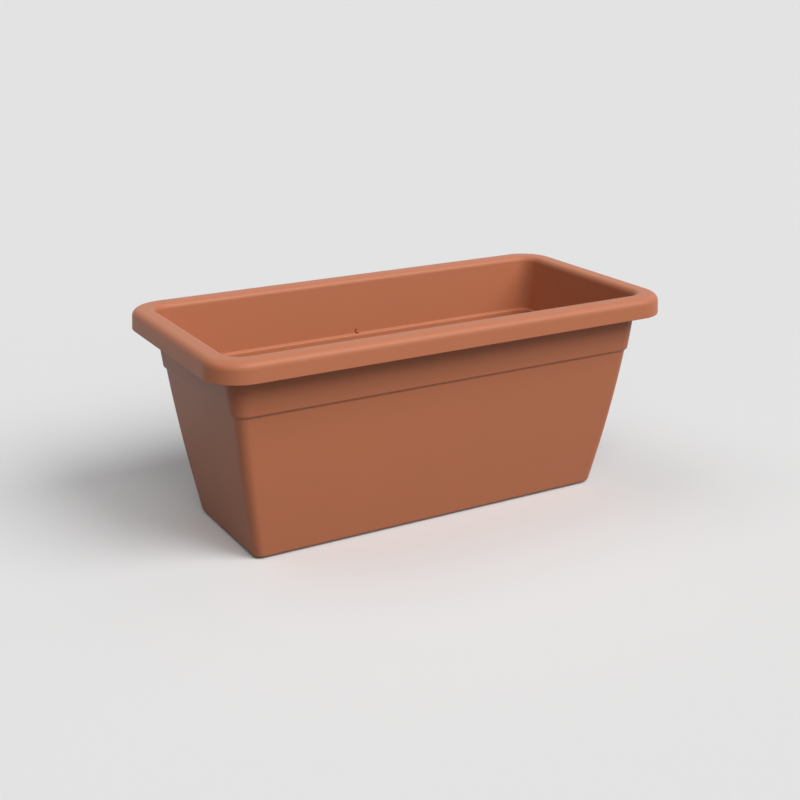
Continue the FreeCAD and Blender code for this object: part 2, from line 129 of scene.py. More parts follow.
def new_tree(name, **inputs):
    """An empty modifier tree with a geometry input and output, and the named inputs."""
    tree = bpy.data.node_groups.new(name, "GeometryNodeTree")
    tree.is_modifier = True
    for direction in ("INPUT", "OUTPUT"):
        tree.interface.new_socket("Geometry", in_out=direction, socket_type="NodeSocketGeometry")
    for label, kind in inputs.items():
        tree.interface.new_socket(label, in_out="INPUT", socket_type="NodeSocket" + kind)
    return tree, tree.nodes.new("NodeGroupInput").outputs, tree.nodes.new("NodeGroupOutput").inputs


def run_tree(piece, tree, material=None, **values):
    """Run a tree on a piece with its inputs set, and keep the result as the piece's mesh."""
    modifier = piece.modifiers.new(tree.name, "NODES")
    modifier.node_group = tree
    if material:
        values["material"] = material
    for socket in tree.interface.items_tree:
        if socket.in_out == "INPUT" and socket.name in values:
            modifier[socket.identifier] = values[socket.name]
    bake_modifiers(piece)
    piece.data.materials.clear()
    piece.data.materials.append(material)
    piece.data.polygons.foreach_set("material_index", [0] * len(piece.data.polygons))


def bake_modifiers(piece):
    """Keep what a piece's modifiers make as its plain mesh, and drop the modifiers."""
    graph = bpy.context.evaluated_depsgraph_get()
    made = bpy.data.meshes.new_from_object(piece.evaluated_get(graph), depsgraph=graph)
    piece.modifiers.clear()
    piece.data = made


# %% [markdown]
# ## One rule for every moulded form
#
# A moulded form like this trough is a stack of level rings, and each ring is a rectangle with
# round corners. So a whole piece is told by one line that climbs its corner: the line's x and y
# are a ring's half length and half width, its z is the ring's level, and an attribute holds the
# ring's corner radius. A round piece is the same thing with its half sizes equal to its corner.
# The line runs from the middle of the base up the outside, over the rim and down the inside.
#
# A ring point is `side * (half sizes - corner) + turn * corner`: `side` points at the middle of
# the corner's arc, and `turn` goes round with the arc. On the straight stretches `turn` stands
# still and `side` slides to the next corner. Two extra stations close to each corner hold the
# straight walls flat where they meet the arc.

# %% The tree that lofts rings along a line
MERGE_DISTANCE = 0.005 * MM


def make_loft_tree():
    """A tree that turns a line with a radius on every point into a closed skin of rings."""
    tree, given, result = new_tree("loft_of_rings", arc_steps="Int", hold="Float",
                                   material="Material")
    line = given["Geometry"]
    straight_steps = 3
    steps_per_corner = calculate(tree, "ADD", given["arc_steps"], straight_steps)
    stations = calculate(tree, "MULTIPLY_ADD", steps_per_corner, 4, 1)
    rows = add_node(tree, "GeometryNodeAttributeDomainSize", Geometry=line).outputs["Point Count"]
    sheet = add_node(tree, "GeometryNodeMeshGrid", Vertices_X=rows, Vertices_Y=stations)

    # which ring and which station a vertex belongs to, and which corner that station follows
    index = add_node(tree, "GeometryNodeInputIndex").outputs[0]
    row = calculate(tree, "FLOOR", calculate(tree, "DIVIDE", index, stations))
    station = calculate(tree, "MODULO", index, stations)
    corner = calculate(tree, "FLOOR", calculate(tree, "DIVIDE", station, steps_per_corner))
    step = calculate(tree, "MODULO", station, steps_per_corner)

    arc_share = calculate(tree, "DIVIDE", step, given["arc_steps"])
    arc_share = calculate(tree, "MINIMUM", arc_share, 1)
    angle = calculate(tree, "MULTIPLY", calculate(tree, "ADD", corner, arc_share), math.pi / 2)
    turn = add_node(tree, "ShaderNodeCombineXYZ", X=calculate(tree, "COSINE", angle),
                    Y=calculate(tree, "SINE", angle)).outputs[0]

    # along a straight stretch the share goes 0, hold, 1 - hold, 1
    past_arc = calculate(tree, "SUBTRACT", calculate(tree, "SUBTRACT", step, given["arc_steps"]), 1)
    spread = calculate(tree, "MULTIPLY_ADD", given["hold"], -2, 1)
    share = calculate(tree, "MULTIPLY_ADD", past_arc, spread, given["hold"])
    share = add_node(tree, "ShaderNodeClamp", Value=share).outputs[0]

    def side_of(number):
        """The signs of a corner, with 1 as z so that a ring keeps its level."""
        angle = calculate(tree, "MULTIPLY_ADD", number, math.pi / 2, math.pi / 4)
        signs = [calculate(tree, "MULTIPLY", calculate(tree, wave, angle), math.sqrt(2))
                 for wave in ("COSINE", "SINE")]
        return add_node(tree, "ShaderNodeCombineXYZ", X=signs[0], Y=signs[1], Z=1).outputs[0]

    side = add_node(tree, "ShaderNodeMix", {"data_type": "VECTOR"})
    feed(tree, side.inputs["Factor"], share)
    feed(tree, side.inputs[4], side_of(corner))
    feed(tree, side.inputs[5], side_of(calculate(tree, "ADD", corner, 1)))

    place_on_line = add_node(tree, "GeometryNodeInputPosition").outputs[0]
    half_sizes = add_node(tree, "GeometryNodeSampleIndex", {"data_type": "FLOAT_VECTOR"},
                          Geometry=line, Value=place_on_line, Index=row)
    named = add_node(tree, "GeometryNodeInputNamedAttribute", {"data_type": "FLOAT"},
                     Name="corner")
    radius = add_node(tree, "GeometryNodeSampleIndex", {"data_type": "FLOAT"}, Geometry=line,
                      Value=named.outputs["Attribute"], Index=row).outputs[0]
    flat_radius = add_node(tree, "ShaderNodeCombineXYZ", X=radius, Y=radius).outputs[0]
    centre = calculate(tree, "SUBTRACT", half_sizes.outputs[0], flat_radius, vector=True)
    to_centre = calculate(tree, "MULTIPLY", side.outputs[1], centre, vector=True)
    round_it = calculate(tree, "MULTIPLY", turn, radius, vector=True)
    place = calculate(tree, "ADD", to_centre, round_it, vector=True)

    skin = add_node(tree, "GeometryNodeSetPosition", Geometry=sheet.outputs["Mesh"],
                    Position=place)
    closed = add_node(tree, "GeometryNodeMergeByDistance", Geometry=skin.outputs[0],
                      Distance=MERGE_DISTANCE)
    outward = add_node(tree, "GeometryNodeFlipFaces", Mesh=closed.outputs[0])
    real = add_node(tree, "GeometryNodeRealizeInstances", Geometry=outward.outputs[0])
    dressed = add_node(tree, "GeometryNodeSetMaterial", Geometry=real.outputs[0],
                       Material=given["material"])
    feed(tree, result["Geometry"], dressed.outputs[0])
    return tree


loft_tree = make_loft_tree()
print("loft tree:", len(loft_tree.nodes), "nodes")

# %% [markdown]
# ## From a few corners to a soft line
#
# A real moulding has no sharp corner: the steel mould is rounded, and the plastic pulls the edges
# a little softer still. So the corner line is written as a few sharp points, each with its own
# radius, and this cell rounds them. Between two arcs that stand far apart, a ring close to each
# arc keeps the flat stretch flat when the surface is smoothed.

# %% Rounding a corner line
ARC_TURN = math.radians(12)
HOLD_DISTANCE = 0.8 * MM


def ring(half_length, half_width, corner, level, radius=0.0):
    """One point of a corner line, as a vector of four, with the radius that softens it."""
    return Vector((half_length, half_width, level, max(corner, 0.0))), radius


def turned(radius, level, soft=0.0):
    """A point of a round piece's line."""
    return ring(radius, radius, radius, level, soft)


def slide(start, end, distance):
    """The point that far from start towards end, measured on the ring's half width and level."""
    across = math.hypot(end[1] - start[1], end[2] - start[2])
    return start + (end - start) * (distance / across)


def rounded_corner(before, here, after, radius):
    """Points along the arc that rounds a corner, from one flat stretch to the next."""
    one = Vector((before[1] - here[1], before[2] - here[2])).normalized()
    two = Vector((after[1] - here[1], after[2] - here[2])).normalized()
    bend = math.pi - one.angle(two)
    reach = radius * math.tan(bend / 2)
    start = slide(here, before, reach)
    end = slide(here, after, reach)
    steps = max(2, round(bend / ARC_TURN))
    points = []
    for step in range(steps + 1):
        # an arc is a blend of its two ends and its corner, whatever plane it lies in
        angle = bend * step / steps
        to_end = (1 - math.cos(angle)) / (1 - math.cos(bend))
        along = math.sin(angle) - to_end * math.sin(bend)
        corner_share = along / math.tan(bend / 2)
        points.append(start + (here - start) * corner_share + (end - start) * to_end)
    return points


def soft_line(corners):
    """Round every corner of a line by its radius, and hold the flat stretches between them."""
    line = []
    for number, (here, radius) in enumerate(corners):
        if radius:
            points = rounded_corner(corners[number - 1][0], here, corners[number + 1][0], radius)
        else:
            points = [here]
        if line and (points[0] - line[-1]).length > 3 * HOLD_DISTANCE:
            line += [slide(line[-1], points[0], HOLD_DISTANCE),
                     slide(points[0], line[-1], HOLD_DISTANCE)]
        line += points
    return line


sample = soft_line([turned(0, 0), turned(10 * MM, 0, MM), turned(10 * MM, 20 * MM, MM),
                    turned(0, 20 * MM)])
print("a soft disc's line has", len(sample), "points")

# %% [markdown]
# ## Casting a piece
#
# The corner line becomes a mesh of bare edges with a radius on every point, and the loft tree
# turns it into a closed skin. Tools for cutting are cast the same way, used and thrown away. A
# large round form takes more steps for a quarter turn than a small corner does.

# %% Casting a line into a closed skin
FINE_ARC = 16
SMALL_ARC = 6
SLOT_ARC = 3
RIB_ARC = 2
STATION_HOLD = 0.01


def cast(name, corners, material=None, arc_steps=SMALL_ARC):
    """Make the piece whose corner line is given, with that many steps for a quarter turn."""
    points = soft_line(corners)
    mesh = bpy.data.meshes.new(name)
    edges = [(step, step + 1) for step in range(len(points) - 1)]
    mesh.from_pydata([point[:3] for point in points], edges, [])
    radius = mesh.attributes.new("corner", "FLOAT", "POINT")
    radius.data.foreach_set("value", [point[3] for point in points])
    piece = bpy.data.objects.new(name, mesh)
    bpy.context.scene.collection.objects.link(piece)
    run_tree(piece, loft_tree, material, arc_steps=arc_steps, hold=STATION_HOLD)
    return piece


# %% [markdown]
# ## Copies that join or cut
#
# Feet, ribs, drain holes, legs and slots all repeat in rows, so one tree sets copies of a small
# piece out on a grid of points and then joins them to the larger piece or cuts them out of it.
# The cut is exact, so what is left is one closed moulding and not a pile of crossing shells.

# %% The trees that add or cut rows of copies
def make_copies_tree(operation):
    """A tree that sets copies out on a grid of points and joins them, or cuts them out."""
    tree, given, result = new_tree("copies_" + operation.lower(), copy="Object", columns="Int",
                                   rows="Int", spacing="Vector", middle="Vector",
                                   material="Material")
    gaps = [calculate(tree, "SUBTRACT", given[label], 1) for label in ("columns", "rows")]
    spacing = add_node(tree, "ShaderNodeSeparateXYZ", Vector=given["spacing"]).outputs
    sizes = [calculate(tree, "MULTIPLY", gap, pitch) for gap, pitch in zip(gaps, spacing)]
    points = add_node(tree, "GeometryNodeMeshGrid", Size_X=sizes[0], Size_Y=sizes[1],
                      Vertices_X=given["columns"], Vertices_Y=given["rows"])
    placed = add_node(tree, "GeometryNodeSetPosition", Geometry=points.outputs["Mesh"],
                      Offset=given["middle"])
    copy = add_node(tree, "GeometryNodeObjectInfo", Object=given["copy"]).outputs["Geometry"]
    copies = add_node(tree, "GeometryNodeInstanceOnPoints", Points=placed.outputs[0],
                      Instance=copy)
    separate = add_node(tree, "GeometryNodeRealizeInstances", Geometry=copies.outputs[0])
    join = add_node(tree, "GeometryNodeMeshBoolean",
                    {"operation": operation, "solver": "MANIFOLD"})
    base_socket = join.inputs["Mesh 1" if operation == "DIFFERENCE" else "Mesh 2"]
    feed(tree, base_socket, given["Geometry"])
    feed(tree, join.inputs["Mesh 2"], separate.outputs[0])
    real = add_node(tree, "GeometryNodeRealizeInstances", Geometry=join.outputs["Mesh"])
    dressed = add_node(tree, "GeometryNodeSetMaterial", Geometry=real.outputs[0],
                       Material=given["material"])
    feed(tree, result["Geometry"], dressed.outputs[0])
    return tree


join_tree = make_copies_tree("UNION")
cut_tree = make_copies_tree("DIFFERENCE")


def set_out(piece, tree, copy, columns=1, rows=1, spacing=(0, 0), middle=(0, 0, 0)):
    """Join copies of a small piece to a larger one, or cut them out, and drop the small one."""
    run_tree(piece, tree, piece.data.materials[0], copy=copy, columns=columns, rows=rows,
             spacing=(*spacing, 0.0), middle=Vector(middle))
    bpy.data.objects.remove(copy)


# %% [markdown]
# ## Finishing a piece
#
# A finished piece is smooth, with a crease only where two faces really meet at an angle. Large
# faces have the say in how an edge is shaded, so a flat plate stays flat right up to its rounded
# rim. The piece stands for its construction node and rides on that node's body.

# %% Finishing and handing over
CREASE = math.radians(35)
FACE_SIZE_WEIGHT = 100
CUBIC_CM = (10 * MM) ** 3


def hand_over(piece, body, node):
    """Shade a finished piece, put it in its node's place on its body, and measure it."""
    piece.data.shade_smooth()
    piece.data.set_sharp_from_angle(angle=CREASE)
    even = piece.modifiers.new("even_shading", "WEIGHTED_NORMAL")
    even.keep_sharp = True
    even.weight = FACE_SIZE_WEIGHT
    bake_modifiers(piece)
    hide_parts(node)
    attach(piece, body)
    shape = bmesh.new()
    shape.from_mesh(piece.data)
    loose = sum(not edge.is_manifold for edge in shape.edges)
    volume = shape.calc_volume(signed=True) / CUBIC_CM
    shape.free()
    print(f"{piece.name}: {len(piece.data.polygons)} faces, {volume:.1f} cm3, "
          f"{loose} open edges")


# %% [markdown]
# ## Camera
#
# The camera stands in front of the left corner and looks a little down on the trough. Its place
# comes from fitting the picture's outline: a turn of about 30 degrees to the left, 19 degrees of
# height, and a lens of about 60 mm on a full-frame sensor, with no shift.

# %% Camera
CAMERA_TURN = math.radians(-29.88)
CAMERA_HEIGHT = math.radians(18.82)
CAMERA_DISTANCE = 1.3668
CAMERA_TARGET = Vector((-0.0007, 0, 0.107))
LENS = 59.535
SENSOR_WIDTH = 36

camera_data = bpy.data.cameras.new("camera")
camera_data.lens = LENS
camera_data.sensor_width = SENSOR_WIDTH
camera = bpy.data.objects.new("camera", camera_data)
bpy.context.scene.collection.objects.link(camera)
away = Vector((math.sin(CAMERA_TURN) * math.cos(CAMERA_HEIGHT),
               -math.cos(CAMERA_TURN) * math.cos(CAMERA_HEIGHT), math.sin(CAMERA_HEIGHT)))
camera.location = CAMERA_TARGET + away * CAMERA_DISTANCE
camera.rotation_euler = (math.pi / 2 - CAMERA_HEIGHT, 0, CAMERA_TURN)
bpy.context.scene.camera = camera
print("camera at", [round(x, 3) for x in camera.location])

# %% [markdown]
# ## Studio
#
# The trough stands on a pale seamless floor. Broad soft lights from the front and the right model
# the rim, let the left end fall into shade and throw the long soft shadow to the left. Weaker ones
# at the left and behind lift that shade a little. Lamps that add up to pi watts on a level square
# metre show a colour as it is written, so each lamp is told as its share of that full level.

# %% Lamps
LAMP_SOFTNESS = math.radians(40)


def new_sun(name, turn, height, share):
    """Add a broad far light, and say what it gives a level face.

    Turn and height, in degrees, say where it stands, as the camera's do.
    """
    light = bpy.data.lights.new(name, "SUN")
    light.energy = share * math.pi
    light.angle = LAMP_SOFTNESS
    lamp = bpy.data.objects.new(name, light)
    bpy.context.scene.collection.objects.link(lamp)
    lamp.rotation_euler = (math.pi / 2 - math.radians(height), 0, math.radians(turn))
    return share * math.sin(math.radians(height))


level_light = sum([
    new_sun("key_light", turn=33, height=42, share=0.60),
    new_sun("front_light", turn=0, height=50, share=0.27),
    new_sun("front_low_light", turn=10, height=10, share=0.06),
    new_sun("left_front_light", turn=-30, height=40, share=0.13),
    new_sun("left_back_light", turn=-120, height=60, share=0.155),
    new_sun("right_light", turn=110, height=55, share=0.045),
    new_sun("back_light", turn=180, height=60, share=0.03),
    new_sun("top_light", turn=0, height=90, share=0.04),
])
print(f"light on a level face: {level_light:.3f} of full")

# %% [markdown]
# ### The pale floor and room
#
# The floor and the room are one pale grey, and no line shows where they meet. What the camera and
# the gloss see of them is that grey. Light that bounces off them into shaded places is weaker,
# which keeps the deep shade under the rim: a light-path node tells the two kinds of ray apart.

# %% Floor and room
BACKGROUND_GREY = 0.767
BOUNCE_GREY = 0.21
FLOOR_REACH = 30


def seen_rays(tree):
    """1 for the rays of the camera, of gloss and of glass, and 0 for light that bounces."""
    path = add_node(tree, "ShaderNodeLightPath").outputs
    seen = calculate(tree, "ADD", path["Is Camera Ray"], path["Is Glossy Ray"])
    seen = calculate(tree, "ADD", seen, path["Is Transmission Ray"])
    return calculate(tree, "MINIMUM", seen, 1)


room = bpy.data.worlds.new("room")
bpy.context.scene.world = room
room.use_nodes = True
background = room.node_tree.nodes["Background"].inputs
background["Color"].default_value = (BACKGROUND_GREY,) * 3 + (1,)
feed(room.node_tree, background["Strength"], seen_rays(room.node_tree))

floor_mesh = bpy.data.meshes.new("floor")
floor_corners = [(x * FLOOR_REACH, y * FLOOR_REACH, 0)
                 for x, y in ((-1, -1), (1, -1), (1, 1), (-1, 1))]
floor_mesh.from_pydata(floor_corners, [], [range(4)])
floor = bpy.data.objects.new("floor", floor_mesh)
bpy.context.scene.collection.objects.link(floor)

# %% [markdown]
# ## Materials
#
# The trough is coloured right through: terracotta polypropylene from a finely blasted mould, so
# it is satin, with a soft sheen and a grain that only shows close up. The grids are a darker,
# matter plastic, and the plugs a soft black rubber.

# %% Finishes
def new_finish(name, colour, roughness):
    """A material with its colour and roughness set, and its tree and shader to build on."""
    material = bpy.data.materials.new(name)
    material.use_nodes = True
    shader = material.node_tree.nodes["Principled BSDF"]
    shader.inputs["Base Color"].default_value = (*colour, 1)
    shader.inputs["Roughness"].default_value = roughness
    return material, material.node_tree, shader


def grain(tree, shader, size, depth, strength):
    """Raise a fine blasted texture of a given grain size and depth, and return its place."""
    place = add_node(tree, "ShaderNodeTexCoord").outputs["Object"]
    noise = add_node(tree, "ShaderNodeTexNoise", Vector=place, Scale=1 / size, Detail=3.0)
    bump = add_node(tree, "ShaderNodeBump", Strength=strength, Distance=depth,
                    Height=noise.outputs["Fac"])
    feed(tree, shader.inputs["Normal"], bump.outputs[0])
    return place


def mottled(tree, shader, place, size, colour, other):
    """Let the colour drift a little between two shades over a patch of the given size."""
    noise = add_node(tree, "ShaderNodeTexNoise", Vector=place, Scale=1 / size, Detail=2.0)
    ramp = add_node(tree, "ShaderNodeMix", {"data_type": "RGBA"})
    feed(tree, ramp.inputs["Factor"], noise.outputs["Fac"])
    feed(tree, ramp.inputs[6], (*colour, 1))
    feed(tree, ramp.inputs[7], (*other, 1))
    feed(tree, shader.inputs["Base Color"], ramp.outputs[2])


# %% The three plastics
def make_terracotta():
    """The trough's satin plastic, a warm brick red with next to no drift in its colour."""
    material, tree, shader = new_finish("terracotta_plastic", (0.51, 0.173, 0.083), roughness=0.43)
    shader.inputs["Specular IOR Level"].default_value = 0.3
    place = grain(tree, shader, size=0.6 * MM, depth=0.05 * MM, strength=0.25)
    mottled(tree, shader, place, size=60 * MM,
            colour=(0.50, 0.170, 0.082), other=(0.52, 0.176, 0.084))
    return material


def make_grid_plastic():
    """The grids' matter plastic, nearly black."""
    material, tree, shader = new_finish("grid_plastic", (0.02, 0.02, 0.022), roughness=0.5)
    place = grain(tree, shader, size=0.5 * MM, depth=0.05 * MM, strength=0.4)
    mottled(tree, shader, place, size=40 * MM,
            colour=(0.018, 0.018, 0.02), other=(0.024, 0.024, 0.026))
    return material


def make_rubber():
    """The plugs' soft black rubber, dull and a little blotchy."""
    material, tree, shader = new_finish("plug_rubber", (0.012, 0.012, 0.012), roughness=0.7)
    place = grain(tree, shader, size=0.8 * MM, depth=0.08 * MM, strength=0.5)
    mottled(tree, shader, place, size=8 * MM,
            colour=(0.010, 0.010, 0.010), other=(0.016, 0.016, 0.016))
    return material


terracotta = make_terracotta()
grid_plastic = make_grid_plastic()
rubber = make_rubber()
print("finishes:", terracotta.name, grid_plastic.name, rubber.name)


# %% The floor's finish
def make_floor_finish():
    """Dull pale grey that renders as the room's grey, and bounces less light than it shows."""
    shown = BACKGROUND_GREY / level_light
    material, tree, shader = new_finish("studio_floor", (shown,) * 3, roughness=1)
    shader.inputs["Specular IOR Level"].default_value = 0
    colour = add_node(tree, "ShaderNodeMix", {"data_type": "RGBA"})
    feed(tree, colour.inputs["Factor"], seen_rays(tree))
    feed(tree, colour.inputs[6], (BOUNCE_GREY,) * 3 + (1,))
    feed(tree, colour.inputs[7], (shown,) * 3 + (1,))
    feed(tree, shader.inputs["Base Color"], colour.outputs[2])
    return material


floor_mesh.materials.append(make_floor_finish())

# %% [markdown]
# ## The trough
#
# One moulding, told by one line that climbs its corner. Outside: the base, the tapered wall,
# the step and the collar. Then the rim with its hanging skirt, and back down the inside over the
# ledge to the floor. The wall bows out by a millimetre and a half between the step and the base,
# so that stretch takes a ring at every tenth of its height. Behind the 45 degree step the inside
# has a ledge that dips only a little, with a rounded front edge.

# %% The trough's rings
COLLAR_SLOPE = COLLAR_FLARE / (SKIRT_FOOT - COLLAR_FOOT)
BOWED_SHARES = [tenth / 10 for tenth in range(1, 10)]


def rim_ring(inset, level, soft):
    """A ring of the rim or its skirt, that far inside the rim's outline."""
    return ring(HALF_LENGTH - inset, HALF_WIDTH - inset, RIM_CORNER - inset, level, soft)


def collar_ring(level, soft, inset=0.0):
    """A ring of the collar, which widens upwards from its foot."""
    growth = COLLAR_SLOPE * (level - COLLAR_FOOT) - inset
    return ring(COLLAR_HALF_LENGTH + growth, COLLAR_HALF_WIDTH + growth, COLLAR_CORNER + growth,
                level, soft)


def body_ring(level, soft=0.0, inset=0.0):
    """A ring of the tapered wall below the step, with the wall's bow added to its sides."""
    share = (level - BASE_LEVEL) / (STEP_FOOT - BASE_LEVEL)
    top = Vector((COLLAR_HALF_LENGTH, COLLAR_HALF_WIDTH, COLLAR_CORNER)) - Vector((STEP,) * 3)
    base = Vector((BASE_HALF_LENGTH, BASE_HALF_WIDTH, BASE_CORNER))
    grown = 4 * WALL_BOW * share * (1 - share) - inset
    length, width, corner = base.lerp(top, share) + Vector((grown, grown, -inset))
    return ring(length, width, corner, level, soft)


def middle_of(level, inset=0.0):
    """The line along the middle of the base or the floor, where the skin closes."""
    (length, width, _, _), _ = body_ring(level, inset=inset)
    return ring(length - width, 0, 0, level)


# %% How soft the trough's edges are
SOFT_BASE = 4 * MM
SOFT_STEP_FOOT = 1.2 * MM
SOFT_COLLAR_FOOT = 1.6 * MM
SOFT_COLLAR_TOP = 3 * MM
SOFT_SKIRT_TOP = 4.5 * MM
SOFT_SKIRT_FOOT = 0.8 * MM
RIM_ROLL = 7.5 * MM
MOUTH_ROLL = 6 * MM
SOFT_LEDGE_BACK = 1 * MM
SOFT_LEDGE_FRONT = 2 * MM
SOFT_FLOOR = 3 * MM

# %% Casting the trough
wall_levels = [BASE_LEVEL + share * (STEP_FOOT - BASE_LEVEL) for share in BOWED_SHARES]
outside = [
    middle_of(BASE_LEVEL),
    body_ring(BASE_LEVEL, SOFT_BASE),
    *[body_ring(level) for level in wall_levels],
    body_ring(STEP_FOOT, SOFT_STEP_FOOT),
    collar_ring(COLLAR_FOOT, SOFT_COLLAR_FOOT),
    collar_ring(RIM_UNDERSIDE, SOFT_COLLAR_TOP),
]
rim = [
    rim_ring(SKIRT_DRAFT + WALL, RIM_UNDERSIDE, SOFT_SKIRT_TOP),
    rim_ring(WALL, SKIRT_FOOT, SOFT_SKIRT_FOOT),
    rim_ring(0, SKIRT_FOOT, SOFT_SKIRT_FOOT),
    rim_ring(SKIRT_DRAFT, RIM_TOP, RIM_ROLL),
]
inside = [
    collar_ring(RIM_TOP, MOUTH_ROLL, WALL),
    collar_ring(LEDGE_TOP, SOFT_LEDGE_BACK, WALL),
    body_ring(LEDGE_FOOT, SOFT_LEDGE_FRONT, WALL),
    *[body_ring(level, inset=WALL) for level in reversed(wall_levels)],
    body_ring(FLOOR, SOFT_FLOOR, WALL),
    middle_of(FLOOR, WALL),
]
trough = cast("trough", outside + rim + inside, terracotta, FINE_ARC)
print("trough skin:", len(trough.data.polygons), "faces")

# %% [markdown]
# ### Under the trough
#
# Six low feet lift the base off the ground, four drain holes go through the floor, and a pipe in
# the middle lets surplus water out above the full mark. A piece that is joined on starts a little
# way inside the other, and a cut goes a little way past it, so that no two faces coincide.

# %% Blocks and discs
OVERLAP = 1 * MM


def cast_block(name, half_length, half_width, corner, low, high, soft_low=0.0, soft_high=0.0,
               material=None, arc_steps=SMALL_ARC):
    """A block with round upright edges, and with its lower and upper edges softened."""
    narrow = min(half_length, half_width)
    middle = (half_length - narrow, half_width - narrow, 0)
    return cast(name, [ring(*middle, low), ring(half_length, half_width, corner, low, soft_low),
                       ring(half_length, half_width, corner, high, soft_high),
                       ring(*middle, high)], material, arc_steps)


def cast_disc(name, radius, low, high, soft_low=0.0, soft_high=0.0):
    """A round block, finely stepped."""
    return cast_block(name, radius, radius, radius, low, high, soft_low, soft_high,
                      arc_steps=FINE_ARC)


# %% Feet, drain holes and the overflow pipe
FOOT_RADIUS = 9 * MM
FOOT_SPACING = (176 * MM, 102 * MM)
PIPE_RADIUS = 7 * MM
PIPE_BORE = 4 * MM
PIPE_TOP = FLOOR + 29 * MM
DRAIN_RADIUS = 6 * MM
DRAIN_SPACING = (300 * MM, 76 * MM)

foot = cast_disc("foot", FOOT_RADIUS, 0, BASE_LEVEL + OVERLAP, soft_low=0.5 * MM)
set_out(trough, join_tree, foot, columns=3, rows=2, spacing=FOOT_SPACING)
pipe = cast_disc("pipe", PIPE_RADIUS, FLOOR - OVERLAP, PIPE_TOP, soft_high=0.8 * MM)
set_out(trough, join_tree, pipe)
bore = cast_disc("bore", PIPE_BORE, -OVERLAP, PIPE_TOP + OVERLAP)
set_out(trough, cut_tree, bore)
drain = cast_disc("drain", DRAIN_RADIUS, -OVERLAP, FLOOR + OVERLAP)
set_out(trough, cut_tree, drain, columns=2, rows=2, spacing=DRAIN_SPACING)
print("with feet, pipe and drains:", len(trough.data.polygons), "faces")

# %% [markdown]
# ### Under the rim
#
# Thin ribs tie the skirt to the collar under the rim's flat top, so that it stays straight when
# the trough is lifted. They sit a little way into the walls on both sides: at their inner ends by
# a third of the wall, and at their outer ends because the skirt leans in over them.

# %% Ribs
RIB_HALF = 1 * MM
RIB_CORNER = 0.2 * MM
RIB_SOFTNESS = 0.3 * MM
RIB_FOOT = RIM_UNDERSIDE - 8 * MM
RIB_TOP = RIM_UNDERSIDE + 0.3 * MM
RIB_MARGIN = 0.1 * MM
COLLAR_AT_RIB = COLLAR_SLOPE * (RIB_FOOT - COLLAR_FOOT) - WALL / 3
SIDE_RIB_SPACING = 110 * MM
END_RIB_SPACING = 90 * MM


def cast_rib(name, half_length, half_width):
    """A rib with its corners and its lower edges just broken."""
    return cast_block(name, half_length, half_width, RIB_CORNER, RIB_FOOT, RIB_TOP,
                      soft_low=RIB_SOFTNESS, arc_steps=RIB_ARC)


side_reach = (HALF_WIDTH - WALL - RIB_MARGIN - COLLAR_HALF_WIDTH - COLLAR_AT_RIB) / 2
side_middle = HALF_WIDTH - WALL - RIB_MARGIN - side_reach
set_out(trough, join_tree, cast_rib("side_rib", RIB_HALF, side_reach), columns=4, rows=2,
        spacing=(SIDE_RIB_SPACING, 2 * side_middle))

end_reach = (HALF_LENGTH - WALL - RIB_MARGIN - COLLAR_HALF_LENGTH - COLLAR_AT_RIB) / 2
end_middle = HALF_LENGTH - WALL - RIB_MARGIN - end_reach
set_out(trough, join_tree, cast_rib("end_rib", end_reach, RIB_HALF), columns=2, rows=2,
        spacing=(2 * end_middle, END_RIB_SPACING))
print("with ribs:", len(trough.data.polygons), "faces")

# %% [markdown]
# ### The knock-out
#
# Near the middle of the back wall, just above the ledge, a small disc is scored nearly half way
# round by a C-shaped groove that leaves a thin skin. It is pushed out where a screw or a tie is
# wanted. The groove is a C-shaped prism, drawn on an upright plane and pushed into the wall.

# %% The knock-out's groove
KNOCKOUT_PLACE = Vector((0.6 * MM, COLLAR_HALF_WIDTH, 158 * MM))
KNOCKOUT_SKIN = 0.6 * MM
GROOVE_RADII = (1.8 * MM, 3.1 * MM)
GROOVE_ANGLES = (math.radians(120), math.radians(290))
GROOVE_STEPS = 20


def make_groove():
    """A prism with a C-shaped face that starts inside the trough and ends in the back wall."""
    inner, outer = GROOVE_RADII
    start, end = GROOVE_ANGLES
    turns = [start + (end - start) * step / GROOVE_STEPS for step in range(GROOVE_STEPS + 1)]
    outline = [(outer, turn) for turn in turns] + [(inner, turn) for turn in reversed(turns)]
    prism = bmesh.new()
    front = KNOCKOUT_PLACE - Vector((0, 2 * WALL, 0))
    round_it = [prism.verts.new(front + radius * Vector((math.cos(turn), 0, math.sin(turn))))
                for radius, turn in outline]
    face = prism.faces.new(round_it)
    pushed = bmesh.ops.extrude_face_region(prism, geom=[face])
    moved = [part for part in pushed["geom"] if isinstance(part, bmesh.types.BMVert)]
    bmesh.ops.translate(prism, verts=moved, vec=(0, 2 * WALL - KNOCKOUT_SKIN, 0))
    bmesh.ops.triangulate(prism, faces=[part for part in prism.faces if len(part.verts) > 4])
    bmesh.ops.recalc_face_normals(prism, faces=prism.faces)
    mesh = bpy.data.meshes.new("groove")
    prism.to_mesh(mesh)
    prism.free()
    groove = bpy.data.objects.new("groove", mesh)
    bpy.context.scene.collection.objects.link(groove)
    return groove


set_out(trough, cut_tree, make_groove())
hand_over(trough, "trough", "trough_shell")

# %% [markdown]
# ## Drainage grids
#
# Two equal grids carry the soil over the water. Each is a shallow tray turned over, full of
# slots, on four legs, with a hollow well in the middle that reaches down into the water: the soil
# in it draws the water up through the slits in its sides. The tray, the well and their cuts are
# cast about the origin, and the finished grid is moved to its half of the trough.

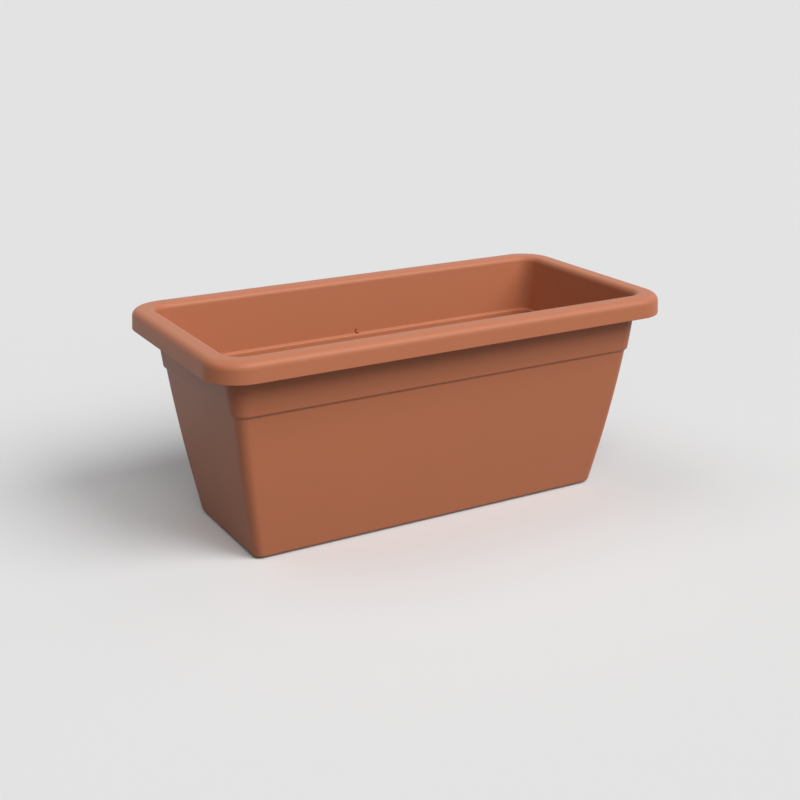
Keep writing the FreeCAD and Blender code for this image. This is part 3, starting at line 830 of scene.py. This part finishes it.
# %% A drainage grid's sizes
GRID_UNDERSIDE = FLOOR + 34 * MM
GRID_TOP = GRID_UNDERSIDE + 2.2 * MM
GRID_HALF_LENGTH = 98.8 * MM
GRID_HALF_WIDTH = 71.2 * MM
GRID_CORNER = 6 * MM
GRID_SEAM = 1.5 * MM
LIP_HEIGHT = 4 * MM
LIP = 1.8 * MM
LEG_RADIUS = 4 * MM
LEG_SPACING = (168 * MM, 118 * MM)
WELL_MOUTH = Vector((28 * MM, 20 * MM, 6 * MM))
WELL_FOOT = Vector((21 * MM, 14 * MM, 6 * MM))
WELL_TOP = GRID_TOP - 0.1 * MM
WELL_WALL = 2 * MM
print(f"grid: {2 * GRID_HALF_LENGTH:.4f} x {2 * GRID_HALF_WIDTH:.4f} m, top at {GRID_TOP:.4f} m")


# %% A drainage grid
def cast_taper(name, foot, mouth, low, high, soft_low=0.0):
    """A block that widens from its foot to its mouth: half length, half width and corner."""
    return cast(name, [ring(foot.x - foot.y, 0, 0, low), ring(*foot, low, soft_low),
                       ring(*mouth, high), ring(mouth.x - mouth.y, 0, 0, high)])


def cast_grid(name):
    """A plate with a lip, four legs and a hollow well, still without its slots."""
    grid = cast_block(name, GRID_HALF_LENGTH, GRID_HALF_WIDTH, GRID_CORNER,
                      GRID_UNDERSIDE - LIP_HEIGHT, GRID_TOP, soft_low=0.4 * MM,
                      soft_high=0.6 * MM, material=grid_plastic)
    hollow = cast_block("hollow", GRID_HALF_LENGTH - LIP, GRID_HALF_WIDTH - LIP,
                        GRID_CORNER - LIP, FLOOR, GRID_UNDERSIDE)
    set_out(grid, cut_tree, hollow)
    leg = cast_disc("leg", LEG_RADIUS, FLOOR, GRID_TOP - OVERLAP, soft_low=0.6 * MM)
    set_out(grid, join_tree, leg, columns=2, rows=2, spacing=LEG_SPACING)
    well = cast_taper("well", WELL_FOOT, WELL_MOUTH, FLOOR, WELL_TOP, soft_low=0.8 * MM)
    set_out(grid, join_tree, well)
    wall = Vector((WELL_WALL,) * 3)
    above = (WELL_MOUTH - WELL_FOOT) * (OVERLAP / (GRID_TOP - FLOOR))
    hollow = cast_taper("hollow", WELL_FOOT - wall, WELL_MOUTH - wall + above,
                        FLOOR + WELL_WALL, GRID_TOP + OVERLAP, soft_low=1.5 * MM)
    set_out(grid, cut_tree, hollow)
    return grid


# %% [markdown]
# ### Slots and slits
#
# Water drains through rows of slots. The two outer rows run the whole length of the plate, and
# the two inner ones stop short of the well on both sides. Three slits go right through the well
# from front to back: the same cutter, laid on its side.

# %% Cutting the slots
SLOT_HALF_WIDTH = 1.5 * MM
SLOT_HALF_LENGTH = 11 * MM
SLOT_CORNER = 1.2 * MM
SLOT_PITCH = 8 * MM
SLOT_ROW_PITCH = 28 * MM
INNER_SLOTS_PLACE = 8 * SLOT_PITCH
SLIT_HALF_LENGTH = 8 * MM
SLIT_LEVEL = FLOOR + 12 * MM
SLIT_PITCH = 10 * MM


def cast_slot(name, half_length, low, high):
    """A cutter for one slot."""
    return cast_block(name, SLOT_HALF_WIDTH, half_length, SLOT_CORNER, low, high,
                      arc_steps=SLOT_ARC)


def cut_slots(grid):
    """Rows of slots through the plate, and three slits through the long sides of the well."""
    plate = (GRID_UNDERSIDE - OVERLAP, GRID_TOP + OVERLAP)
    slot = cast_slot("slot", SLOT_HALF_LENGTH, *plate)
    set_out(grid, cut_tree, slot, columns=23, rows=2, spacing=(SLOT_PITCH, 3 * SLOT_ROW_PITCH))
    for side in (-1, 1):
        slot = cast_slot("slot", SLOT_HALF_LENGTH, *plate)
        set_out(grid, cut_tree, slot, columns=7, rows=2, spacing=(SLOT_PITCH, SLOT_ROW_PITCH),
                middle=(side * INNER_SLOTS_PLACE, 0, 0))
    slit = cast_slot("slit", SLIT_HALF_LENGTH, -WELL_MOUTH.y - OVERLAP, WELL_MOUTH.y + OVERLAP)
    lying_down = Matrix.Rotation(math.pi / 2, 4, "X")
    slit.data.transform(Matrix.Translation((0, 0, SLIT_LEVEL)) @ lying_down)
    set_out(grid, cut_tree, slit, columns=3, spacing=(SLIT_PITCH, 0))


def soften_edges(piece, width):
    """Round the edges that the cuts left sharp."""
    bevel = piece.modifiers.new("soft_edges", "BEVEL")
    bevel.width = width
    bevel.segments = 2
    bevel.limit_method = "ANGLE"
    bevel.angle_limit = CREASE
    bevel.use_clamp_overlap = True
    bake_modifiers(piece)


# %% The two grids
EDGE_BREAK = 0.2 * MM

for side, word in ((-1, "left"), (1, "right")):
    grid = cast_grid("grid_" + word)
    cut_slots(grid)
    soften_edges(grid, EDGE_BREAK)
    grid.data.transform(Matrix.Translation((side * (GRID_HALF_LENGTH + GRID_SEAM / 2), 0, 0)))
    hand_over(grid, word + "_grid", "drainage_grid_" + word)

# %% [markdown]
# ## Drain plugs
#
# A plug is a turned piece: a stem that fills the drain hole, a flange that seals on the floor,
# and a waisted grip to pull it out by. Its line is the same as any other, with every ring round.

# %% Plugs
STEM_RADIUS = DRAIN_RADIUS - 0.05 * MM
FLANGE_RADIUS = 9.5 * MM
NECK_RADIUS = 3 * MM
GRIP_RADIUS = 5 * MM
STEM_FOOT = 0.4 * MM
FLANGE_TOP = FLOOR + 2 * MM
NECK_TOP = FLANGE_TOP + 3.5 * MM
GRIP_FOOT = NECK_TOP + 0.7 * MM
GRIP_TOP = NECK_TOP + 3 * MM

plug_line = [
    turned(0, STEM_FOOT),
    turned(STEM_RADIUS, STEM_FOOT, soft=0.7 * MM),
    turned(STEM_RADIUS, FLOOR),
    turned(FLANGE_RADIUS, FLOOR, soft=0.2 * MM),
    turned(FLANGE_RADIUS, FLANGE_TOP, soft=0.8 * MM),
    turned(NECK_RADIUS, FLANGE_TOP, soft=0.8 * MM),
    turned(NECK_RADIUS, NECK_TOP, soft=0.8 * MM),
    turned(GRIP_RADIUS, GRIP_FOOT, soft=0.6 * MM),
    turned(GRIP_RADIUS, GRIP_TOP, soft=0.9 * MM),
    turned(0, GRIP_TOP),
]
for y_side, y_word in ((-1, "front"), (1, "back")):
    for x_side, x_word in ((-1, "left"), (1, "right")):
        corner = f"{y_word}_{x_word}"
        plug = cast("plug_" + corner, plug_line, rubber, FINE_ARC)
        place = (x_side * DRAIN_SPACING[0] / 2, y_side * DRAIN_SPACING[1] / 2, 0)
        plug.data.transform(Matrix.Translation(place))
        hand_over(plug, corner + "_plug", "drain_plug_" + corner)

# %% [markdown]
# ## Settings
#
# The colours are shown as they are written, with no film look.

# %% Last settings
bpy.context.scene.view_settings.view_transform = "Standard"
